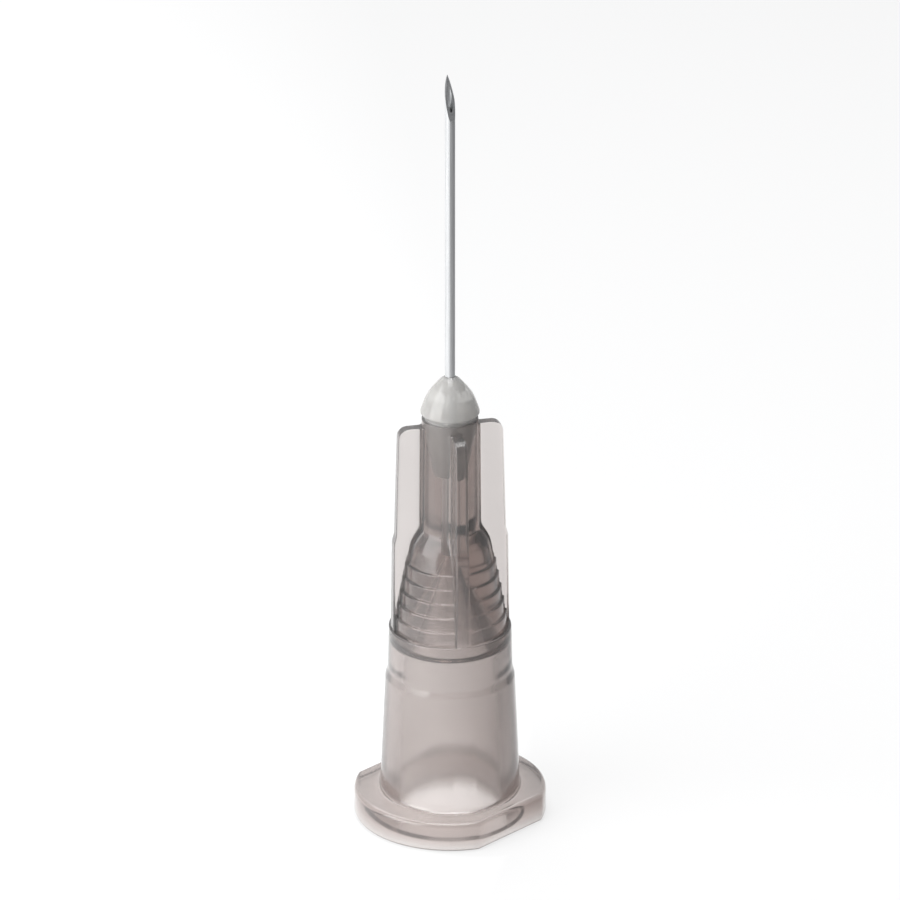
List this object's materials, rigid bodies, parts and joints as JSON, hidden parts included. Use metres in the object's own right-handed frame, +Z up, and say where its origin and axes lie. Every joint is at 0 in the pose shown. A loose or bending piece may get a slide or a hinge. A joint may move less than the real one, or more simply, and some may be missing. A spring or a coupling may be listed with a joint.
{
  "type": "hypodermic needle",
  "caption": "Hypodermic needle: a fine steel tube with a bevelled point, glued into a finned, ringed grey plastic hub with a Luer socket and lock lugs.",
  "frame": {"origin": "centre of the hub's mouth face, on which the needle stands", "axes": "+Z up the tube to the point; the hub's four fins lie along X and Y"},
  "size_m": [0.0078, 0.0078, 0.0321],
  "materials": {
    "hub": "translucent grey moulded polypropylene",
    "cannula": "drawn stainless steel, fine lengthwise grain, bright ground point",
    "adhesive": "cured milky adhesive"
  },
  "bodies": {
    "root": {"hub": "hub", "cannula": "cannula", "adhesive": "adhesive"}
  },
  "joints": []
}
